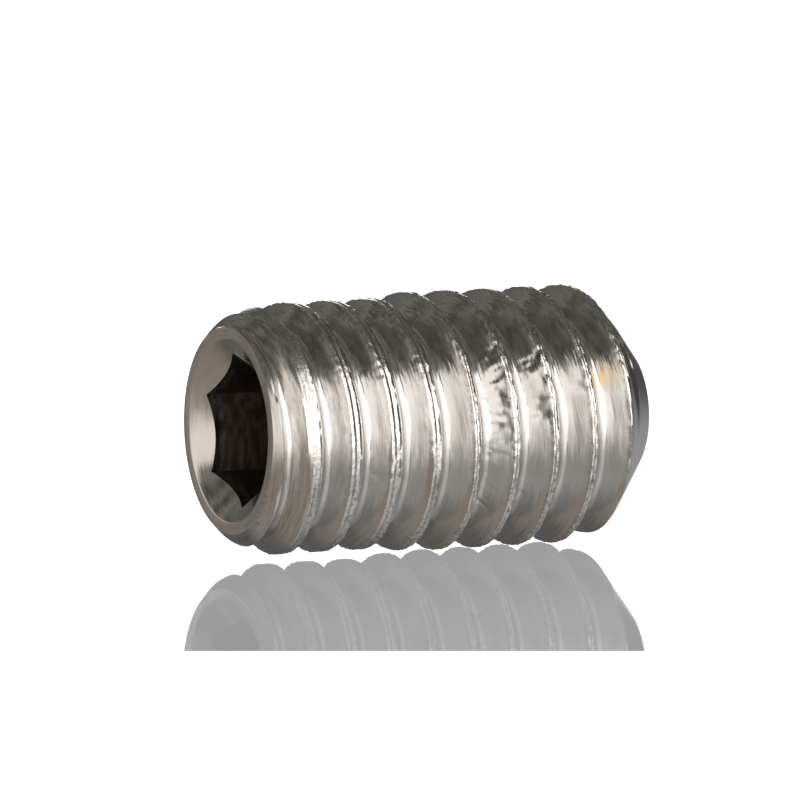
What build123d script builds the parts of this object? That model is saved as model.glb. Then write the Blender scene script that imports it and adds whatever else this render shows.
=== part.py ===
from build123d import *

import os
from math import radians, sin, sqrt, tan

# Hexagon socket set screw (grub screw) with a cup point, M6 x 1 x 10, one piece of stainless steel.
# Frame: millimetres, +Z along the screw's axis, from the cup point up to the socket end.
# The origin is the centre of the ring on which the cup point stands.

# Driving dimensions, mm and degrees
LENGTH = 10.0  # point ring to socket end face

MAJOR_DIAMETER = 5.97  # over the crests where the thread is full
PITCH = 1.0  # single start, right hand
FLANK_ANGLE = 30.0  # of each flank from the plane across the axis
CREST_ON_PLUS_X = 0.39  # height of the crest above the point ring on the +X side, less whole pitches
CREST_SHORTFALL = 0.115  # on the radius, of the crests near the socket, which rolling left less full
SHORT_CRESTS = 3.55  # length of thread with those crests, from the end face
CREST_TAPER = 0.9  # length over which the crests then grow to the full diameter

POINT_DIAMETER = 3.1  # outside of the ring that bites
POINT_LAND = 0.08  # width of that ring
POINT_CONE_ANGLE = 50.0  # of the point's outside from the axis
CUP_ANGLE = 60.0  # of the cup's wall from the axis

END_FACE_INSET = 0.01  # of the end face's outside edge, inwards from the thread's root
END_FACE_WIDTH = 0.27  # of the flat ring round the socket's mouth
RIM_CHAMFER = 0.25  # radial width of the chamfer outside that ring
RIM_CHAMFER_ANGLE = 45.0  # of that chamfer from the axis
SHOULDER_ANGLE = 21.0  # of the gentler cone from the chamfer out to the crests, from the axis

SOCKET_ACROSS_FLATS = 3.05
SOCKET_DEPTH = 3.5  # of the full hexagon, from the end face
SOCKET_TURN = 9.0  # of a hexagon corner from +X
MOUTH_ANGLE = 55.0  # of the countersink round the socket, from the axis
DRILL_POINT_ANGLE = 60.0  # of the cone left under the hexagon, from the axis


def rise(run: float, angle: float) -> float:
    """Length along the axis of a line that moves out by run and stands at angle to the axis."""
    return run / tan(radians(angle))


# Thread form worked out from the driving dimensions
FLANK_SLOPE = tan(radians(FLANK_ANGLE))
FLANK_SINE = sin(radians(FLANK_ANGLE))
CREST_FLAT = PITCH / 8
ROOT_FILLET = PITCH / 2 / FLANK_SLOPE / 6  # a sixth of the height of the sharp triangle
MAJOR_RADIUS = MAJOR_DIAMETER / 2
APEX_RADIUS = MAJOR_RADIUS - (PITCH - CREST_FLAT) / 2 / FLANK_SLOPE  # where a groove's flanks would meet
FILLET_CENTRE_RADIUS = APEX_RADIUS + ROOT_FILLET / FLANK_SINE
ROOT_RADIUS = FILLET_CENTRE_RADIUS - ROOT_FILLET

# Ends worked out from the driving dimensions
POINT_RADIUS = POINT_DIAMETER / 2
CUP_RADIUS = POINT_RADIUS - POINT_LAND
END_FACE_RADIUS = ROOT_RADIUS - END_FACE_INSET
MOUTH_RADIUS = END_FACE_RADIUS - END_FACE_WIDTH
SHOULDER_RADIUS = END_FACE_RADIUS + RIM_CHAMFER
SHORT_CREST_RADIUS = MAJOR_RADIUS - CREST_SHORTFALL


def blank() -> Part:
    """The screw before its thread and socket: a bar with both ends chamfered and the cup in its point."""
    shoulder_top = LENGTH - rise(RIM_CHAMFER, RIM_CHAMFER_ANGLE)
    shoulder_foot = shoulder_top - rise(SHORT_CREST_RADIUS - SHOULDER_RADIUS, SHOULDER_ANGLE)
    outline = Polyline(
        (0, rise(CUP_RADIUS, CUP_ANGLE)),
        (CUP_RADIUS, 0),
        (POINT_RADIUS, 0),
        (MAJOR_RADIUS, rise(MAJOR_RADIUS - POINT_RADIUS, POINT_CONE_ANGLE)),
        (MAJOR_RADIUS, LENGTH - SHORT_CRESTS - CREST_TAPER),
        (SHORT_CREST_RADIUS, LENGTH - SHORT_CRESTS),
        (SHORT_CREST_RADIUS, shoulder_foot),
        (SHOULDER_RADIUS, shoulder_top),
        (END_FACE_RADIUS, LENGTH),
        (0, LENGTH),
        close=True,
    )
    return revolve(Plane.XZ * make_face(outline), Axis.Z)


def groove_section() -> Face:
    """The thread's groove in the plane of the axis, at X > 0 and centred on Z = 0, open past the crests."""
    outside_radius = MAJOR_RADIUS + CREST_FLAT / 2  # stops short of where two turns would meet
    half_outside = (outside_radius - APEX_RADIUS) * FLANK_SLOPE
    tangent_radius = FILLET_CENTRE_RADIUS - ROOT_FILLET * FLANK_SINE
    half_tangent = (tangent_radius - APEX_RADIUS) * FLANK_SLOPE
    sides = Polyline(
        (tangent_radius, half_tangent),
        (outside_radius, half_outside),
        (outside_radius, -half_outside),
        (tangent_radius, -half_tangent),
    )
    root = ThreePointArc(
        (tangent_radius, -half_tangent),
        (ROOT_RADIUS, 0),
        (tangent_radius, half_tangent),
    )
    return Plane.XZ * make_face(sides + root)


def thread_groove() -> list[Part]:
    """The groove as a helix that runs past both ends of the screw, one piece to a turn."""
    turn = sweep(groove_section(), Helix(PITCH, PITCH, MAJOR_RADIUS), is_frenet=True)
    root_on_plus_x = CREST_ON_PLUS_X + PITCH / 2
    turns = int(LENGTH / PITCH) + 3
    return [Pos(0, 0, root_on_plus_x + (number - 2) * PITCH) * turn for number in range(turns)]


def socket() -> Part:
    """The hexagon socket, the countersink round its mouth and the drill point under it."""
    floor = LENGTH - SOCKET_DEPTH
    corner_radius = SOCKET_ACROSS_FLATS / sqrt(3)
    hexagon = RegularPolygon(corner_radius, 6, rotation=SOCKET_TURN)
    recess = Pos(0, 0, floor) * extrude(hexagon, SOCKET_DEPTH)
    drill_radius = SOCKET_ACROSS_FLATS / 2
    drill_point = Polyline(
        (0, floor - rise(drill_radius, DRILL_POINT_ANGLE)),
        (drill_radius, floor),
        (0, floor),
        close=True,
    )
    countersink = Polyline(
        (0, LENGTH),
        (MOUTH_RADIUS, LENGTH),
        (0, LENGTH - rise(MOUTH_RADIUS, MOUTH_ANGLE)),
        close=True,
    )
    for outline in (drill_point, countersink):
        recess += revolve(Plane.XZ * make_face(outline), Axis.Z)
    return recess


screw = blank() - thread_groove() - socket()
screw.label = "set_screw"

os.makedirs("parts", exist_ok=True)
export_step(screw, "parts/set_screw.step")
size = screw.bounding_box().size
print("solids", len(screw.solids()), "volume mm3", round(screw.volume, 2))
print("size mm", round(size.X, 3), round(size.Y, 3), round(size.Z, 3))
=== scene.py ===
# %% [markdown]
# # A grub set screw, M6 x 1 x 10
# A grub screw is a headless screw: a threaded bar with a hexagon socket in one end and a cup-shaped point
# in the other. It was turned, broached and thread-rolled from one bar of stainless steel, so this scene
# has one piece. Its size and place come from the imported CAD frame. The screw stands on its point, socket
# up, as it would on a bench.

import math
from types import SimpleNamespace

import bmesh
import bpy
import numpy as np
from mathutils import Matrix, Vector, noise


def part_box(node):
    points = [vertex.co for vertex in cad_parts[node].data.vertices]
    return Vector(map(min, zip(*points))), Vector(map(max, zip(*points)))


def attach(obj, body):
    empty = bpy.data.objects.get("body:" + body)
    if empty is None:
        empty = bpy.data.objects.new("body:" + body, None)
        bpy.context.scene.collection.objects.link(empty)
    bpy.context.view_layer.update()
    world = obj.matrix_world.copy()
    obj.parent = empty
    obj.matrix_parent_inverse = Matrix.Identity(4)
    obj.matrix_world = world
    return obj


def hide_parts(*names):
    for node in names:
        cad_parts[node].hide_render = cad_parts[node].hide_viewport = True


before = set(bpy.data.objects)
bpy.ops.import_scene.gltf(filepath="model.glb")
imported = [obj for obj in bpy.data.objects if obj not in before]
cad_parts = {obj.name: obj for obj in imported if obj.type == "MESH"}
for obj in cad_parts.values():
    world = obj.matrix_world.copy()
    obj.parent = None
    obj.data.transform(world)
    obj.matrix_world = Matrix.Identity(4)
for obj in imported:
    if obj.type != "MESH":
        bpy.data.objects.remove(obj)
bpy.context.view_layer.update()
low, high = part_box("set_screw")
MM = 0.001
LENGTH = (high.z - low.z) / MM

# %% [markdown]
# ## Sizes of the screw
# All sizes are millimetres, and the mesh is turned into metres at the end. The thread is the ISO metric
# form: flanks at 30 degrees, a narrow crest and a rounded root. The crests next to the socket are lower
# than the rest, because the rolling dies did not fill them.

# %% Sizes
PITCH = 1.0
FLANK_ANGLE = math.radians(30)
MAJOR_RADIUS = (high.x - low.x) / 2 / MM
CREST_ON_PLUS_X = 0.39
FLANK_SLOPE = math.tan(FLANK_ANGLE)
ROOT_FILLET = PITCH / 2 / FLANK_SLOPE / 6
APEX_RADIUS = MAJOR_RADIUS - 7 / 16 * PITCH / FLANK_SLOPE
ROOT_RADIUS = APEX_RADIUS + ROOT_FILLET
CREST_SHORTFALL = 0.115
SHORT_CRESTS = 3.55
CREST_TAPER = 0.9

POINT_RADIUS = 1.55
POINT_CONE_SLOPE = math.tan(math.radians(50))
CUP_RADIUS = 1.47
CUP_DEPTH = CUP_RADIUS / math.tan(math.radians(60))

END_FACE_INSET = 0.01
END_FACE_WIDTH = 0.27
RIM_CHAMFER = 0.25
END_FACE_RADIUS = ROOT_RADIUS - END_FACE_INSET
MOUTH_RADIUS = END_FACE_RADIUS - END_FACE_WIDTH
SHOULDER_RADIUS = END_FACE_RADIUS + RIM_CHAMFER
SHOULDER_DROP = RIM_CHAMFER
SHOULDER_SLOPE = math.tan(math.radians(21))
MOUTH_SLOPE = math.tan(math.radians(55))
HALF_FLATS = 3.05 / 2
SOCKET_TURN = math.radians(9)
SOCKET_DEPTH = 3.5
SOCKET_FLOOR = LENGTH - SOCKET_DEPTH
DRILL_DEPTH = HALF_FLATS / math.tan(math.radians(60))

STEPS = 360  # points round the axis
print("length", round(LENGTH, 3), "radii", round(MAJOR_RADIUS, 3), round(ROOT_RADIUS, 3))

# %% [markdown]
# ## The thread's section
# A thread could be a bump texture, but its flanks hide and reflect each other, so it has to be geometry.
# One tooth is described as a radius for each share of a pitch, from the middle of a crest (0) over the
# root (0.5) to the next crest (1). A soft minimum joins two limits with a small rounding, as a die does,
# where a plain minimum leaves a knife edge.

# %% Radius of the thread
HALF_SECTION = (0.022, 0.045, 0.066, 0.09, 0.125, 0.18, 0.24, 0.305, 0.37, 0.41, 0.455)
SECTION = (0.0,) + HALF_SECTION + (0.5,) + tuple(1 - share for share in reversed(HALF_SECTION))
EDGE_ROUNDING = 0.012
SHOULDER_ROUNDING = 0.05


def soft_min(a, b, rounding):
    """The smaller of two lengths, blended where they are within rounding of each other."""
    blend = np.clip(0.5 + (b - a) / (2 * rounding), 0, 1)
    return b * (1 - blend) + a * blend - rounding * blend * (1 - blend)


def flank_radius(share):
    """Radius of the sharp flanks with the rounded root, at a share of a pitch from the crest."""
    from_root = np.abs(np.mod(share, 1.0) - 0.5) * PITCH
    flank = APEX_RADIUS + from_root / FLANK_SLOPE
    arc_half = ROOT_FILLET * math.cos(FLANK_ANGLE)
    inside = np.clip(from_root, 0, arc_half)
    arc = APEX_RADIUS + 2 * ROOT_FILLET - np.sqrt(ROOT_FILLET**2 - inside**2)
    return np.where(from_root < arc_half, arc, flank)


def crest_limit(z):
    """Radius that the crests reach at a height, lower near the socket."""
    from_face = LENGTH - z
    short = 1 - np.clip((from_face - SHORT_CRESTS) / CREST_TAPER, 0, 1)
    return MAJOR_RADIUS - CREST_SHORTFALL * short


def end_limit(z):
    """Radius that the turned ends allow at a height: point cone, and shoulder and chamfer at the socket."""
    point = POINT_RADIUS + z * POINT_CONE_SLOPE
    drop = LENGTH - z
    chamfer = END_FACE_RADIUS + drop * (SHOULDER_RADIUS - END_FACE_RADIUS) / SHOULDER_DROP
    shoulder = SHOULDER_RADIUS + (drop - SHOULDER_DROP) * SHOULDER_SLOPE
    return np.minimum(point, soft_min(chamfer, shoulder, SHOULDER_ROUNDING))


print("points in the section", len(SECTION))

# %% [markdown]
# ## Wear on the thread
# Handling in a box with other screws leaves nicks on the crests and dents on the flanks. Most of them
# here are in two turns near the middle. A bump texture would not change the outline, so the dents are
# vertices moved inwards, each with a place on the thread, a size and a depth.

# %% Dents
DENT_REACH = 6  # where a dent is too shallow to count
DENTS = (  # angle in degrees, height, size along and across, depth
    (-50, 4.42, 0.20, 0.16, 0.060),
    (-60, 4.36, 0.22, 0.12, 0.070),
    (-67, 4.50, 0.24, 0.14, 0.050),
    (-75, 4.40, 0.30, 0.20, 0.070),
    (-84, 4.46, 0.18, 0.16, 0.060),
    (-92, 4.36, 0.22, 0.14, 0.055),
    (-101, 4.42, 0.16, 0.16, 0.045),
    (-55, 3.40, 0.18, 0.16, 0.060),
    (-66, 3.36, 0.26, 0.16, 0.060),
    (-76, 3.46, 0.16, 0.14, 0.055),
    (-84, 3.38, 0.16, 0.16, 0.060),
    (-70, 2.42, 0.20, 0.14, 0.035),
    (-118, 4.45, 0.26, 0.14, 0.040),
    (-136, 4.40, 0.22, 0.14, 0.050),
    (-132, 3.45, 0.16, 0.10, 0.035),
    (-110, 7.40, 0.10, 0.10, 0.025),
    (60, 5.10, 0.20, 0.15, 0.040),
    (128, 3.30, 0.16, 0.18, 0.040),
    (155, 6.90, 0.14, 0.12, 0.030),
)
print("dents", len(DENTS))

# %% [markdown]
# ## Seam on the crests
# Rolling folds a crest inwards from both sides, so its middle has a shallow seam with ragged lips. The
# seam is part of the shape for the same reason as the dents. Its lips are torn by noise with a fixed
# place, and Blender's noise gives the same values on every run.

# %% Seam, ragged lips and wear
CREST_HALF = PITCH / 16
SEAM_DEPTH = 0.030
SEAM_WIDTH = 0.45  # of half the crest's width
LIP_DEPTH = 0.022
LIP_PLACE = 0.9  # of half the crest's width
LIP_WIDTH = 0.035
SKIN_WEAR = 0.005


def ragged(x, y, z, size, seed):
    """Smooth noise about zero with features of one size, in millimetres."""
    return noise.noise(Vector((x / size + seed, y / size, z / size)))


def worn_radius(radius, angle, z, share):
    """The radius at one vertex after rolling and handling."""
    x, y = radius * math.cos(angle), radius * math.sin(angle)
    from_crest = min(share, 1 - share)
    half_crest = CREST_HALF + (MAJOR_RADIUS - float(crest_limit(z))) * FLANK_SLOPE
    seam = max(0.0, 1 - from_crest / (SEAM_WIDTH * half_crest))
    lip = math.exp(-(((from_crest - LIP_PLACE * half_crest) / LIP_WIDTH) ** 2))
    torn = ragged(x, y, z, size=0.16, seed=11.0) + 0.8 * ragged(x, y, z, size=0.09, seed=19.0)
    depth = SEAM_DEPTH * seam * (0.75 + 0.6 * ragged(x, y, z, size=0.35, seed=3.0))
    depth += LIP_DEPTH * lip * (0.4 + torn)
    depth += SKIN_WEAR * (1 + ragged(x, y, z, size=0.5, seed=29.0))
    for degrees, height, along, across, deep in DENTS:
        turn = math.remainder(angle - math.radians(degrees), math.tau)
        away = (turn * radius / along) ** 2 + ((z - height) / across) ** 2
        if away < DENT_REACH:
            depth += deep * math.exp(-away) * (0.7 + 1.5 * ragged(x, y, z, size=0.15, seed=47.0))
    return radius - max(depth, 0.0)


print("seam depth, mm", SEAM_DEPTH, "crest half width, mm", round(CREST_HALF, 4))

# %% [markdown]
# ## The thread as a mesh
# A lathe would give rings, but a thread is one long strip. Here each column of points stands at one angle
# and carries the section, climbing a pitch in a turn, and the last point of a column meets the first one
# a turn higher. Points beyond an end are laid on that end's circle and welded, which closes the strip
# there.

# %% Build the thread strip
FIRST_TURN = -2
TURNS = int(LENGTH / PITCH) + 4


def thread_points():
    """Vertices of the strip: column by column up the helix, each with one section."""
    columns = TURNS * STEPS
    angle = np.arange(columns) * math.tau / STEPS
    crest = CREST_ON_PLUS_X + FIRST_TURN * PITCH + np.arange(columns) * PITCH / STEPS
    share = np.array(SECTION)
    z = crest[:, None] + share[None, :] * PITCH
    shares = np.broadcast_to(share, z.shape)
    radius = soft_min(flank_radius(shares), crest_limit(z), EDGE_ROUNDING)
    points = np.zeros(z.shape + (3,))
    for i in range(columns):
        for j in range(len(SECTION)):
            height = min(max(z[i, j], 0.0), LENGTH)
            reach = float(end_limit(height))
            if 0 < z[i, j] < LENGTH:
                worn = worn_radius(float(radius[i, j]), angle[i], height, float(share[j]))
                reach = float(soft_min(worn, reach, EDGE_ROUNDING))
            points[i, j] = (reach * math.cos(angle[i]), reach * math.sin(angle[i]), height)
    return points


def thread_faces():
    """Quads of the strip, joined to the turn above."""
    section = len(SECTION)
    columns = TURNS * STEPS
    faces = []
    for i in range(columns - STEPS - 1):
        for j in range(section):
            here, over = i * section + j, (i + 1) * section + j
            if j + 1 < section:
                faces.append((here, over, over + 1, here + 1))
            else:
                faces.append((here, over, (i + 1 + STEPS) * section, (i + STEPS) * section))
    return faces


strip = thread_points()
strip_faces = thread_faces()
print("strip points", strip.shape[0] * strip.shape[1], "faces", len(strip_faces))

# %% [markdown]
# ## Both ends as rings
# The rest of the screw is built from rings of points with the same angles as the strip, so they weld to
# it. On the socket's side each ring follows the hexagon, and its height comes from the countersink's
# cone: where the flat walls cut the cone, the edge bends into six shallow arches by itself. A boolean
# would give the same arches with a rougher mesh.

# %% Rings that follow the hexagon
def hexagon_radius(angle, half_flats):
    """Distance from the axis to a hexagon's wall at an angle."""
    turn = math.remainder(angle - SOCKET_TURN - math.pi / 6, math.pi / 3)
    return half_flats / math.cos(turn)


def ring(radius_at, height_at):
    """One ring of points; both arguments are functions of the angle."""
    angles = [step * math.tau / STEPS for step in range(STEPS)]
    return [(radius_at(a) * math.cos(a), radius_at(a) * math.sin(a), height_at(a)) for a in angles]


def round_ring(radius, height):
    return ring(lambda a: radius, lambda a: height)


def mouth_height(radius):
    return LENGTH - (MOUTH_RADIUS - radius) / MOUTH_SLOPE


def countersink_ring(share):
    """A ring between the mouth's edge (0) and the hexagon (1), on the countersink's cone."""
    def radius_at(a):
        return MOUTH_RADIUS + (hexagon_radius(a, HALF_FLATS) - MOUTH_RADIUS) * share
    return ring(radius_at, lambda a: mouth_height(radius_at(a)))


def wall_ring(share):
    """A ring down the socket's walls, from the countersink (0) to the floor (1)."""
    def height_at(a):
        top = mouth_height(hexagon_radius(a, HALF_FLATS))
        return top + (SOCKET_FLOOR - top) * share
    return ring(lambda a: hexagon_radius(a, HALF_FLATS), height_at)


print("hexagon corners at", round(HALF_FLATS / math.cos(math.pi / 6), 3), "mm from the axis")

# %% [markdown]
# ## Floor, drill point and cup
# Under the hexagon there is a flat floor with the cone that the drill left, and the screw's other end has
# the cup that bites into a shaft. A lathe would cut both cones from the axis outwards. Here they are
# rings again, closer together where a surface turns, so that the smooth shading doesn't smear over the
# edges.

# %% All the rings
DRILL_RADIUS = HALF_FLATS * 0.985  # just inside the flats, so that the rings never cross
FACE_EDGE = 0.012
MOUTH_EDGE = 0.030
MOUTH_EDGE_DROP = 0.006


def floor_ring(share):
    """A ring from the hexagon (0) to the drill point's edge (1)."""
    def radius_at(a):
        return hexagon_radius(a, HALF_FLATS) * (1 - share) + DRILL_RADIUS * share
    return ring(radius_at, lambda a: SOCKET_FLOOR)


def drill_ring(share):
    """A ring on the drill point's cone, from its tip (0) to its edge (1)."""
    return round_ring(DRILL_RADIUS * share, SOCKET_FLOOR - DRILL_DEPTH * (1 - share))


def cup_ring(share):
    """A ring on the cup's cone, from its tip (0) to its edge (1)."""
    return round_ring(CUP_RADIUS * share, CUP_DEPTH * (1 - share))


socket_rings = [round_ring(END_FACE_RADIUS, LENGTH), round_ring(END_FACE_RADIUS - FACE_EDGE, LENGTH)]
socket_rings += [round_ring(MOUTH_RADIUS + MOUTH_EDGE, LENGTH)]
socket_rings += [round_ring(MOUTH_RADIUS, LENGTH - MOUTH_EDGE_DROP)]
socket_rings += [countersink_ring(share) for share in (0.06, 0.35, 0.7, 0.97, 1.0)]
socket_rings += [wall_ring(share) for share in (0.012, 0.25, 0.5, 0.75, 0.985, 1.0)]
socket_rings += [floor_ring(share) for share in (0.5, 1.0)]
socket_rings += [drill_ring(share) for share in (0.97, 0.6, 0.3, 0.02)]

point_rings = [round_ring(POINT_RADIUS, 0.0), round_ring(CUP_RADIUS, 0.0)]
point_rings += [cup_ring(share) for share in (0.97, 0.7, 0.4, 0.15, 0.02)]
print("rings", len(socket_rings), "and", len(point_rings))

# %% [markdown]
# ## One closed skin
# The strip and the rings go into one mesh. Points at the same place are welded, faces that shrank to
# nothing are dropped, and the normals are made to point outwards. Joining separate solids would leave
# walls inside the screw, while one skin can be measured: its open edges are counted and its volume is
# printed.

# %% Weld the screw
WELD_DISTANCE = 2e-7


def add_rings(verts, faces, rings, outwards):
    """Adds rings and the quads between them, and closes the last ring."""
    first = len(verts)
    for points in rings:
        verts.extend(points)
    for k in range(len(rings) - 1):
        for i in range(STEPS):
            n = (i + 1) % STEPS
            near, far = first + k * STEPS, first + (k + 1) * STEPS
            quad = (near + i, near + n, far + n, far + i)
            faces.append(quad if outwards else quad[::-1])
    last = first + (len(rings) - 1) * STEPS
    cap = tuple(range(last, last + STEPS))
    faces.append(cap if outwards else cap[::-1])


def weld(verts, faces):
    mesh = bpy.data.meshes.new("set_screw_skin")
    mesh.from_pydata([tuple(c * MM for c in v) for v in verts], [], faces)
    skin = bmesh.new()
    skin.from_mesh(mesh)
    bmesh.ops.remove_doubles(skin, verts=skin.verts, dist=WELD_DISTANCE)
    bmesh.ops.dissolve_degenerate(skin, edges=skin.edges, dist=WELD_DISTANCE)
    loose = [v for v in skin.verts if not v.link_faces]
    bmesh.ops.delete(skin, geom=loose, context="VERTS")
    bmesh.ops.recalc_face_normals(skin, faces=skin.faces)
    open_edges = sum(1 for e in skin.edges if len(e.link_faces) != 2)
    volume = skin.calc_volume(signed=True)
    skin.to_mesh(mesh)
    skin.free()
    triangles = sum(len(face.vertices) - 2 for face in mesh.polygons)
    print("triangles", triangles, "open edges", open_edges, "volume mm3", round(volume / MM**3, 2))
    return mesh


print("weld distance, mm", WELD_DISTANCE / MM)

# %% [markdown]
# ## The screw as an object
# The mesh becomes one object. Every face is smooth, so the rolled flanks show no facets, and an edge
# stays sharp where the surface turns by more than a set angle, as at the socket's arches and the point.

# %% Make the screw
SHARP_EDGE = math.radians(32)

verts = [tuple(p) for p in strip.reshape(-1, 3)]
faces = list(strip_faces)
add_rings(verts, faces, socket_rings, True)
add_rings(verts, faces, point_rings, False)
screw_mesh = weld(verts, faces)
screw_mesh.polygons.foreach_set("use_smooth", [True] * len(screw_mesh.polygons))
screw_mesh.set_sharp_from_angle(angle=SHARP_EDGE)
screw = bpy.data.objects.new("screw", screw_mesh)
bpy.context.scene.collection.objects.link(screw)
print("object", screw.name, "vertices", len(screw_mesh.vertices))

# %% [markdown]
# ## Helpers for shader nodes
# Blender's materials are graphs of nodes. Placing each node by hand in the editor is easy to try out but
# hard to repeat, so the graphs here are made by a few short functions: one adds a node with its inputs,
# and the others name the sums and mixes that come up again and again.

# %% Node helpers
def material_tree(name):
    material = bpy.data.materials.new(name)
    material.use_nodes = True
    tree = material.node_tree
    tree.nodes.clear()
    return material, tree


def add(tree, kind, inputs=None, **settings):
    """A node with its settings and inputs; an input is a value or another node's output."""
    node = tree.nodes.new(kind)
    for key, value in settings.items():
        setattr(node, key, value)
    for key, value in (inputs or {}).items():
        if isinstance(value, bpy.types.NodeSocket):
            tree.links.new(value, node.inputs[key])
        else:
            node.inputs[key].default_value = value
    return node


def maths(tree, operation, a, b=0.0, c=0.0):
    return add(tree, "ShaderNodeMath", {0: a, 1: b, 2: c}, operation=operation).outputs[0]


def times(tree, a, b):
    return maths(tree, "MULTIPLY", a, b)


def minus(tree, a, b):
    return maths(tree, "SUBTRACT", a, b)


def vector_maths(tree, operation, inputs):
    return add(tree, "ShaderNodeVectorMath", inputs, operation=operation).outputs


def remap(tree, value, low_in, high_in, low_out=0.0, high_out=1.0):
    """Takes a value from one range to another with a soft start and end."""
    settings = dict(interpolation_type="SMOOTHSTEP", clamp=True)
    inputs = {"Value": value, "From Min": low_in, "From Max": high_in, "To Min": low_out, "To Max": high_out}
    return add(tree, "ShaderNodeMapRange", inputs, **settings).outputs["Result"]


def vector(tree, x, y, z):
    return add(tree, "ShaderNodeCombineXYZ", {0: x, 1: y, 2: z}).outputs[0]


def noise_at(tree, place, scale, detail=2.0, roughness=0.5):
    inputs = {"Vector": place, "Scale": scale, "Detail": detail, "Roughness": roughness}
    return add(tree, "ShaderNodeTexNoise", inputs).outputs["Fac"]


def mix_color(tree, share, a, b):
    """A colour between a and b; each can be a constant or another node's output."""
    node = tree.nodes.new("ShaderNodeMix")
    node.data_type = "RGBA"
    for index, value in ((0, share), (6, a), (7, b)):
        if isinstance(value, bpy.types.NodeSocket):
            tree.links.new(value, node.inputs[index])
        else:
            node.inputs[index].default_value = value
    return node.outputs[2]


def mix_shaders(tree, share, a, b):
    """A shader between a (share 0) and b (share 1)."""
    node = add(tree, "ShaderNodeMixShader", {"Fac": share})
    tree.links.new(a.outputs[0], node.inputs[1])
    tree.links.new(b.outputs[0], node.inputs[2])
    return node


def show(tree, shader):
    """Makes a shader the one that the material's surface shows."""
    out = add(tree, "ShaderNodeOutputMaterial")
    tree.links.new(shader.outputs[0], out.inputs["Surface"])


print("node helpers", [helper.__name__ for helper in (add, maths, remap, noise_at, mix_color, mix_shaders)])

# %% [markdown]
# ## Where the marks are
# Dirt sits on the crests, rolling laps sit where the thread runs out at the socket, and the socket is
# darkened by dirt and by painted shade for its recess. Painted maps would need the screw to be unwrapped.
# Here each area is worked out from the place on the screw: the height less the angle's share of a turn
# says how far a point is from the nearest crest.

# %% Areas of the screw
AXIS_GUARD = 0.05  # keeps the division by the radius safe on the axis
OUTSIDE_RADII = (2.20, 2.32)
CREST_BAND = (0.06, 0.13)  # pitches from the middle of a crest
RUN_OUT_HEIGHTS = (8.0, 8.9)
SOCKET_DROPS = (0.02, 0.35)  # below the countersink's upper cone
SOCKET_REACH = 1.8
SOCKET_FROM_HEIGHT = 5.0


def place_on_screw(tree):
    """Where a point is, in millimetres: height, radius, and the angle as cosine, sine and share of a turn."""
    place = add(tree, "ShaderNodeTexCoord").outputs["Object"]
    in_mm = vector_maths(tree, "SCALE", {0: place, "Scale": 1 / MM})[0]
    x, y, z = add(tree, "ShaderNodeSeparateXYZ", {0: in_mm}).outputs
    reach = maths(tree, "SQRT", maths(tree, "MULTIPLY_ADD", x, x, times(tree, y, y)))
    safe = maths(tree, "MAXIMUM", reach, AXIS_GUARD)
    cosine, sine = maths(tree, "DIVIDE", x, safe), maths(tree, "DIVIDE", y, safe)
    turn = maths(tree, "DIVIDE", maths(tree, "ARCTAN2", y, x), math.tau)
    return SimpleNamespace(mm=in_mm, z=z, reach=reach, cosine=cosine, sine=sine, turn=turn)


def screw_areas(tree, place):
    """Masks from 0 to 1 for the outside, the crests, the worn run-out and the socket."""
    climb = minus(tree, minus(tree, place.z, CREST_ON_PLUS_X), place.turn)
    from_crest = maths(tree, "PINGPONG", climb, PITCH / 2)
    outside = remap(tree, place.reach, *OUTSIDE_RADII)
    crest = times(tree, remap(tree, from_crest, *CREST_BAND, 1.0, 0.0), outside)
    run_out = times(tree, remap(tree, place.z, *RUN_OUT_HEIGHTS), outside)
    # the socket's mask, where dirt and painted shade darken the recess below the countersink
    cone = maths(tree, "MULTIPLY_ADD", place.reach, 1 / MOUTH_SLOPE, LENGTH)
    below_cone = minus(tree, minus(tree, cone, place.z), MOUTH_RADIUS / MOUTH_SLOPE)
    socket = remap(tree, below_cone, *SOCKET_DROPS)
    socket = times(tree, socket, maths(tree, "LESS_THAN", place.reach, SOCKET_REACH))
    socket = times(tree, socket, maths(tree, "GREATER_THAN", place.z, SOCKET_FROM_HEIGHT))
    return SimpleNamespace(outside=outside, crest=crest, run_out=run_out, socket=socket)


print("socket darkens from", round(LENGTH - SOCKET_DROPS[0], 3), "mm down")

# %% [markdown]
# ## Lines from rolling and turning
# A plain noise gives marks with no direction, but rolling and turning leave them along the thread. So the
# noise is fed with height and radius at a fine scale, and with the angle's sine and cosine at a coarse
# one: the marks come out long round the axis, and there is no seam behind the screw.

# %% Lines round the axis
LINE_SHIFT = 0.7  # share of the coarse scale on the third axis


def line_noise(tree, place, across, along, detail, roughness=0.5):
    """Noise stretched round the axis; across is features per millimetre, along is features per radian."""
    cosine = times(tree, place.cosine, along)
    a = maths(tree, "MULTIPLY_ADD", place.reach, across, cosine)
    b = maths(tree, "MULTIPLY_ADD", place.z, across, times(tree, place.sine, along))
    stretched = vector(tree, a, b, times(tree, place.cosine, along * LINE_SHIFT))
    return noise_at(tree, stretched, 1.0, detail, roughness)


def steel_noises(tree, place):
    return SimpleNamespace(
        fine=line_noise(tree, place, 22.0, 5.0, 3.0, 0.6),
        coarse=line_noise(tree, place, 7.0, 3.0, 2.0),
        streak=line_noise(tree, place, 24.0, 4.0, 3.0, 0.65),
        cloud=noise_at(tree, place.mm, 0.9, 3.0),
        speckle=noise_at(tree, place.mm, 11.0, 3.0, 0.65),
    )


print("finest lines, per mm", 24.0, "and coarsest", 7.0)
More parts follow.
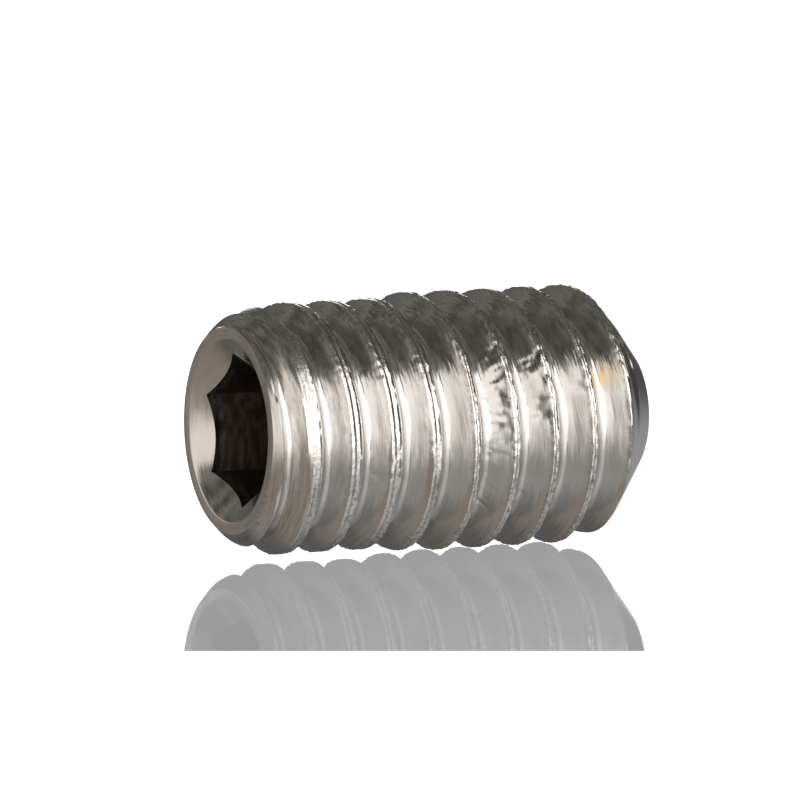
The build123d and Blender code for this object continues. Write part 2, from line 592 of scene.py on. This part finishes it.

# %% [markdown]
# ## Colour and roughness of the steel
# Bare stainless steel is a warm grey that drifts a little from place to place. Grime darkens the worn
# crests and the laps near the socket, and one spot has a straw heat tint. The socket is dark brown from
# dirt and from painted shade, a dark colour laid in the recess where shade falls. A darker reflection is
# not enough for grime, which also scatters light, so each of these areas is rougher too.

# %% Colour and roughness
STEEL_WARM = (0.600, 0.586, 0.568, 1)
STEEL_COOL = (0.645, 0.636, 0.626, 1)
GRIME = (0.180, 0.165, 0.150, 1)
STRAW = (0.620, 0.480, 0.250, 1)
# dark brown for dirt, and painted shade standing in for the shade in the socket's recess
SOCKET_DIRT_AND_SHADE = (0.110, 0.070, 0.038, 1)
HEAT_SPOT = (1.22, -2.30, 1.55)
HEAT_RADII = (0.10, 0.60)
GRIME_EDGE = (0.50, 0.62)
CREST_GRIME = 0.6
LAP_GRIME = 0.8
HEAT_TINT = 0.7
DIRT_AND_SHADE_COVER = 0.93
ROUGHNESS = (0.13, 0.22)
GRIME_ROUGHNESS = 0.14
SOCKET_DIRT_ROUGHNESS = 0.16


def steel_color(tree, place, areas, marks):
    """Base colour, and the roughness that goes with it."""
    grimy = times(tree, remap(tree, marks.speckle, *GRIME_EDGE), areas.crest)
    laps = times(tree, areas.run_out, LAP_GRIME)
    lapped = times(tree, remap(tree, marks.streak, *GRIME_EDGE), laps)
    grimy = maths(tree, "MAXIMUM", grimy, lapped)
    from_heat = vector_maths(tree, "DISTANCE", {0: place.mm, 1: HEAT_SPOT})["Value"]
    heat = times(tree, remap(tree, from_heat, *HEAT_RADII, 1.0, 0.0), remap(tree, marks.coarse, 0.40, 0.55))

    tint = mix_color(tree, remap(tree, marks.cloud, 0.35, 0.7), STEEL_WARM, STEEL_COOL)
    tint = mix_color(tree, times(tree, grimy, CREST_GRIME), tint, GRIME)
    tint = mix_color(tree, times(tree, heat, HEAT_TINT), tint, STRAW)
    # the socket is darkened by dirt and by painted shade in the recess
    tint = mix_color(tree, times(tree, areas.socket, DIRT_AND_SHADE_COVER), tint, SOCKET_DIRT_AND_SHADE)

    rough = remap(tree, marks.coarse, 0.3, 0.7, *ROUGHNESS)
    rough = maths(tree, "ADD", rough, times(tree, grimy, GRIME_ROUGHNESS))
    return tint, maths(tree, "MULTIPLY_ADD", areas.socket, SOCKET_DIRT_ROUGHNESS, rough)


print("roughness", ROUGHNESS, "plus", GRIME_ROUGHNESS, "where grimy")

# %% [markdown]
# ## Relief and streaks
# Bump gives the lines a depth of about two thousandths of a millimetre. Under a bright window that is
# still too tidy: on real rolled steel each line leans a little forwards or backwards along its own length
# and picks up another part of the room. The normal is therefore tipped along the thread by the streak
# noise, less so near the socket.

# %% Normal of the steel
BUMP_DEPTH = 0.0018
FINE_RELIEF = 0.7
COARSE_RELIEF = 1.4
CREST_RELIEF = 5.0
STREAK_LEAN = 0.40
NEAR_SOCKET_HEIGHTS = (7.8, 8.8)
NEAR_SOCKET_LOSS = -0.55


def steel_normal(tree, place, areas, marks):
    """The bumped normal, tipped along the lines."""
    height = maths(tree, "MULTIPLY_ADD", marks.fine, FINE_RELIEF, times(tree, marks.coarse, COARSE_RELIEF))
    worn = times(tree, marks.speckle, times(tree, areas.crest, CREST_RELIEF))
    height = maths(tree, "ADD", height, worn)
    relief = {"Strength": 1.0, "Distance": BUMP_DEPTH * MM, "Height": height}
    bump = add(tree, "ShaderNodeBump", relief).outputs[0]

    near_socket = remap(tree, place.z, *NEAR_SOCKET_HEIGHTS)
    kept = maths(tree, "MULTIPLY_ADD", near_socket, NEAR_SOCKET_LOSS, 1.0)
    lined = times(tree, maths(tree, "MAXIMUM", areas.outside, near_socket), kept)
    lean = times(tree, minus(tree, marks.streak, 0.5), times(tree, lined, STREAK_LEAN))
    along = vector(tree, times(tree, place.sine, -1.0), place.cosine, 0.0)
    leaning = vector_maths(tree, "SCALE", {0: along, "Scale": lean})[0]
    tilted = vector_maths(tree, "ADD", {0: bump, 1: leaning})[0]
    return vector_maths(tree, "NORMALIZE", {0: tilted})[0]


print("bump depth, mm", BUMP_DEPTH, "streak lean", STREAK_LEAN)

# %% [markdown]
# ## Stainless steel on the screw
# The look of bare steel is all reflection, so the shader is fully metallic and everything else only
# decides how sharp and how dark the reflections are. The screw gets the steel in its material slot, rides
# on the base body and replaces the CAD shape, which is hidden.

# %% The steel
def steel():
    material, tree = material_tree("stainless_steel")
    place = place_on_screw(tree)
    areas = screw_areas(tree, place)
    marks = steel_noises(tree, place)
    tint, rough = steel_color(tree, place, areas, marks)
    looks = {"Base Color": tint, "Metallic": 1.0, "Roughness": rough}
    looks["Normal"] = steel_normal(tree, place, areas, marks)
    show(tree, add(tree, "ShaderNodeBsdfPrincipled", looks))
    return material


screw.data.materials.append(steel())
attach(screw, "root")
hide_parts("set_screw")
print("material", screw.data.materials[0].name, "nodes", len(screw.data.materials[0].node_tree.nodes))

# %% [markdown]
# ## A light tent for the metal
# Metal shows its surroundings, so they have to be designed: cards and windows all round. Lamps alone
# leave most of a metal black. Here the cards are one dome that only reflections see. The two flanks of a
# groove face each other at 60 degrees, so light reaches the eye after two reflections and comes from the
# side, and the side cards are set by compass bearing: a bright window in front, a dark card to the right,
# and grey cards to the left and behind. Overhead cards serve the countersink and the end face, and the
# cards below serve the cone of the point. The brightness depends on the direction from the screw, and
# never on the camera.

# %% Cards of the tent
WINDOW = (2.35, 2.27, 2.19, 1)
NEAR_CARD = (0.62, 0.605, 0.59, 1)
FAR_CARD = (0.33, 0.322, 0.312, 1)
SKYLIGHT = (1.08, 0.99, 0.90, 1)
HIGH_CARD = (0.31, 0.265, 0.225, 1)
REAR_CARD = (0.13, 0.127, 0.122, 1)
DARK_CARD = (0.080, 0.076, 0.070, 1)
OLIVE_CARD = (0.240, 0.228, 0.192, 1)
BELOW_CARD = (0.36, 0.355, 0.36, 1)
BELOW_DARK = (0.075, 0.070, 0.065, 1)
BACKDROP = (3.0, 3.0, 3.0, 1)
BACKDROP_TOWARDS = Vector((0.1225, 0.8877, -0.4439))
BACKDROP_RIM = math.cos(math.radians(14))
BACKDROP_FULL = math.cos(math.radians(9))


def side_cards(tree, x, y, dark):
    """Colour by the compass bearing, from the front (0) to the right (90) and the left (-90)."""
    from_front = maths(tree, "ARCTAN2", x, times(tree, y, -1.0))
    bearing = times(tree, from_front, 180 / math.pi)
    cards = (
        (-135.0, -112.0, FAR_CARD),
        (-108.0, -70.0, NEAR_CARD),
        (-52.0, 10.0, WINDOW),
        (50.0, 61.0, dark),
        (140.0, 175.0, REAR_CARD),
    )
    sides = REAR_CARD
    for begins, full, card in cards:
        sides = mix_color(tree, remap(tree, bearing, begins, full), sides, card)
    return sides


def overhead_cards(tree, x, y, dark):
    """Cards with straight edges, so that the countersink shows them as bands."""
    dark_edge = maths(tree, "MULTIPLY_ADD", y, -0.24, 0.38)
    sky_edge = maths(tree, "MULTIPLY_ADD", y, 0.3, -0.13)
    sky = remap(tree, minus(tree, x, sky_edge), -0.18, 0.16)
    shade = remap(tree, minus(tree, x, dark_edge), -0.06, 0.06)
    return mix_color(tree, shade, mix_color(tree, sky, HIGH_CARD, SKYLIGHT), dark)


print("window to dark card, brightness", round(WINDOW[1] / DARK_CARD[1], 1), "to 1")

# %% [markdown]
# ## The tent's dome
# The cards go on the inside of a sphere round the screw, joined by its height: sides first, then overhead
# above about a fifth of the way up, and the cards below under the screw. A small very bright backdrop
# behind the screw gives the pale rims. The sphere is hidden from everything except reflections.

# %% The tent
TENT_RADIUS = 0.12
OVERHEAD_FROM = (0.20, 0.60)
BELOW_UNTIL = (-0.62, -0.50)
middle = Vector((0, 0, LENGTH / 2 * MM))


def tent_material():
    material, tree = material_tree("light_tent")
    place = add(tree, "ShaderNodeTexCoord").outputs["Object"]
    towards = vector_maths(tree, "NORMALIZE", {0: place})[0]
    x, y, z = add(tree, "ShaderNodeSeparateXYZ", {0: towards}).outputs
    blotch = remap(tree, noise_at(tree, towards, 4.2, 1.0), 0.42, 0.62)
    dark = mix_color(tree, blotch, DARK_CARD, OLIVE_CARD)

    sides, overhead = side_cards(tree, x, y, dark), overhead_cards(tree, x, y, dark)
    color = mix_color(tree, remap(tree, z, *OVERHEAD_FROM), sides, overhead)
    below = mix_color(tree, remap(tree, x, -0.17, 0.02), BELOW_CARD, BELOW_DARK)
    color = mix_color(tree, remap(tree, z, *BELOW_UNTIL, 1.0, 0.0), color, below)
    facing = vector_maths(tree, "DOT_PRODUCT", {0: towards, 1: BACKDROP_TOWARDS})["Value"]
    color = mix_color(tree, remap(tree, facing, BACKDROP_RIM, BACKDROP_FULL), color, BACKDROP)
    show(tree, add(tree, "ShaderNodeEmission", {"Color": color, "Strength": 1.0}))
    return material


bpy.ops.mesh.primitive_uv_sphere_add(segments=64, ring_count=32, radius=TENT_RADIUS, location=middle)
tent = bpy.context.object
tent.name = "light_tent"
tent.data.materials.append(tent_material())
tent.visible_camera = False
tent.visible_diffuse = False
tent.visible_transmission = False
tent.visible_shadow = False
print("tent", tent.name, "radius, m", TENT_RADIUS)

# %% [markdown]
# ## Floor
# The floor is pale and shows as white to the camera, but keeps the screw's soft shadow. A floor that only
# glows has no shadow, and a floor that is only lit is grey. Here part of its brightness comes from the
# lamps and part is its own glow, and the glow is left out of the light that reaches the screw.

# %% Floor
FLOOR_HALF = 0.6
FLOOR_GREY = 0.8
FLOOR_GLOW = 0.72


def plane(name, corners, material):
    mesh = bpy.data.meshes.new(name)
    mesh.from_pydata(corners, [], [tuple(range(len(corners)))])
    mesh.materials.append(material)
    obj = bpy.data.objects.new(name, mesh)
    bpy.context.scene.collection.objects.link(obj)
    return obj


def seen_rays(tree):
    """1 for rays from the camera, and for those that a mirror or glass sends on."""
    path = add(tree, "ShaderNodeLightPath").outputs
    seen = maths(tree, "MAXIMUM", path["Is Camera Ray"], path["Is Glossy Ray"])
    return maths(tree, "MAXIMUM", seen, path["Is Transmission Ray"])


def floor_material():
    material, tree = material_tree("pale_floor")
    lit = add(tree, "ShaderNodeBsdfDiffuse", {"Color": (FLOOR_GREY, FLOOR_GREY, FLOOR_GREY, 1)})
    white = add(tree, "ShaderNodeEmission", {"Color": (1, 1, 1, 1), "Strength": FLOOR_GLOW})
    both = add(tree, "ShaderNodeAddShader")
    tree.links.new(lit.outputs[0], both.inputs[0])
    tree.links.new(white.outputs[0], both.inputs[1])
    show(tree, mix_shaders(tree, seen_rays(tree), lit, both))
    return material


signs = ((-1, -1), (1, -1), (1, 1), (-1, 1))
floor = plane("floor", [(x * FLOOR_HALF, y * FLOOR_HALF, 0) for x, y in signs], floor_material())
floor.visible_glossy = False
print("floor", floor.name, "width, m", 2 * FLOOR_HALF)

# %% [markdown]
# ## Glossy shelf
# A glossy white shelf stands on edge beside the screw, a hundredth of a millimetre from its crests, and
# mirrors it at a shallow angle. A perfect mirror would show the screw twice as bright as real glazed
# board does, so the mirror takes a small share and the rest is the board's own white. Where it is seen
# more squarely it turns plain white. It is one-sided, so it never hides the screw from other views, and
# its near edge is cut straight.

# %% Shelf
SHELF_GAP = 0.01
SHELF_NEAR = 15.4
MIRROR_SHARE = 0.30
MIRROR_ROUGHNESS = 0.03
BOARD_WHITE = (0.94, 0.93, 0.96, 1)
BOARD_GLOW = 0.48
MIRROR_FACING = (0.70, 0.84)


def shelf_material():
    material, tree = material_tree("glossy_shelf")
    gloss = {"Color": (1, 1, 1, 1), "Roughness": MIRROR_ROUGHNESS}
    mirror = add(tree, "ShaderNodeBsdfGlossy", gloss)
    body = add(tree, "ShaderNodeEmission", {"Color": BOARD_WHITE, "Strength": BOARD_GLOW})
    glazed = mix_shaders(tree, MIRROR_SHARE, body, mirror)
    white = add(tree, "ShaderNodeEmission", {"Color": (1, 1, 1, 1), "Strength": 1.0})
    shallow = add(tree, "ShaderNodeLayerWeight", {"Blend": 0.5}).outputs["Facing"]
    front = mix_shaders(tree, remap(tree, shallow, *MIRROR_FACING), white, glazed)
    clear = add(tree, "ShaderNodeBsdfTransparent")
    behind = add(tree, "ShaderNodeNewGeometry").outputs["Backfacing"]
    show(tree, mix_shaders(tree, behind, front, clear))
    return material


toward_front = Vector((0, -0.8944, 0.4472))
along_edge = Vector((0, 0.397, 0.918))
near_edge = Vector((low.x - SHELF_GAP * MM, 0, LENGTH / 2 * MM)) + toward_front * SHELF_NEAR * MM
shelf_corners = [
    near_edge - along_edge * 0.016,
    near_edge - along_edge * 0.005 - toward_front * 0.026,
    near_edge + along_edge * 0.020 - toward_front * 0.026,
    near_edge + along_edge * 0.020,
]
shelf = plane("shelf", shelf_corners, shelf_material())
shelf.visible_glossy = False
shelf.visible_diffuse = False
shelf.visible_shadow = False
print("shelf", shelf.name, "gap to the crests, mm", SHELF_GAP)

# %% [markdown]
# ## Room and lamps
# The tent lights only the reflections, so two square lamps give the floor its light and the screw its
# shadow. The room is white where it is seen and dim where it lights things, so a pale background doesn't
# wash out the shadow.

# %% Room and lamps
ROOM_TINT = (0.9, 0.9, 0.92, 1)
ROOM_LIGHT = 0.25

world = bpy.data.worlds.new("studio")
world.use_nodes = True
bpy.context.scene.world = world
sky = world.node_tree
sky.nodes.clear()
seen_glow = add(sky, "ShaderNodeBackground", {"Color": (1, 1, 1, 1), "Strength": 1.0})
room_glow = add(sky, "ShaderNodeBackground", {"Color": ROOM_TINT, "Strength": ROOM_LIGHT})
pick = mix_shaders(sky, seen_rays(sky), room_glow, seen_glow)
sky.links.new(pick.outputs[0], add(sky, "ShaderNodeOutputWorld").inputs["Surface"])


def softbox(name, towards, distance, size, power):
    """A square area lamp at a distance from the screw, turned to face it."""
    lamp = bpy.data.lights.new(name, "AREA")
    lamp.size = size
    lamp.energy = power
    obj = bpy.data.objects.new(name, lamp)
    obj.location = middle + Vector(towards).normalized() * distance
    obj.rotation_euler = (middle - obj.location).to_track_quat("-Z", "Y").to_euler()
    bpy.context.scene.collection.objects.link(obj)
    return obj


softbox("front_softbox", towards=(0.1, -0.9, 0.55), distance=0.35, size=0.16, power=1.0)
softbox("top_softbox", towards=(-0.1, 0.1, 1.0), distance=0.45, size=0.30, power=0.7)
print("lamps", [lamp.name for lamp in bpy.data.lights])

# %% [markdown]
# ## Camera
# A long lens from about 20 cm keeps the thread's turns nearly equal. The camera looks at the socket end,
# 7 degrees off the shelf's surface, and is rolled on its side, so that the screw lies across the view
# with its socket to the left and the shelf's mirror image below it.

# %% Camera
AXIS_TO_VIEW = math.radians(63.4346)
ABOVE_SHELF = math.radians(7.0375)
ROLL = math.radians(0.487)
DISTANCE = 198.0
AIM_HEIGHT = 5.15
AIM_RIGHT = -0.4397
AIM_UP = 0.4747
LENS = 388.7

across_cos, across_sin = math.cos(AXIS_TO_VIEW), math.sin(AXIS_TO_VIEW)
tilt_cos, tilt_sin = math.cos(ABOVE_SHELF), math.sin(ABOVE_SHELF)
level_right = Vector((0, -across_cos, -across_sin))
level_up = Vector((tilt_cos, across_sin * tilt_sin, -across_cos * tilt_sin))
forward = Vector((-tilt_sin, across_sin * tilt_cos, -across_cos * tilt_cos))
right = level_right * math.cos(ROLL) + level_up * math.sin(ROLL)
up = level_up * math.cos(ROLL) - level_right * math.sin(ROLL)

lens = bpy.data.cameras.new("camera")
lens.sensor_width = 36.0
lens.lens = LENS
lens.clip_start = 0.01
lens.clip_end = 10.0
camera = bpy.data.objects.new("camera", lens)
aim = Vector((0, 0, AIM_HEIGHT)) + right * AIM_RIGHT + up * AIM_UP
turn = Matrix((right, up, -forward)).transposed().to_4x4()
camera.matrix_world = Matrix.Translation((aim - forward * DISTANCE) * MM) @ turn
bpy.context.scene.collection.objects.link(camera)
bpy.context.scene.camera = camera
bpy.context.scene.view_settings.view_transform = "Standard"
print("camera at, mm", [round(c / MM, 1) for c in camera.matrix_world.translation])
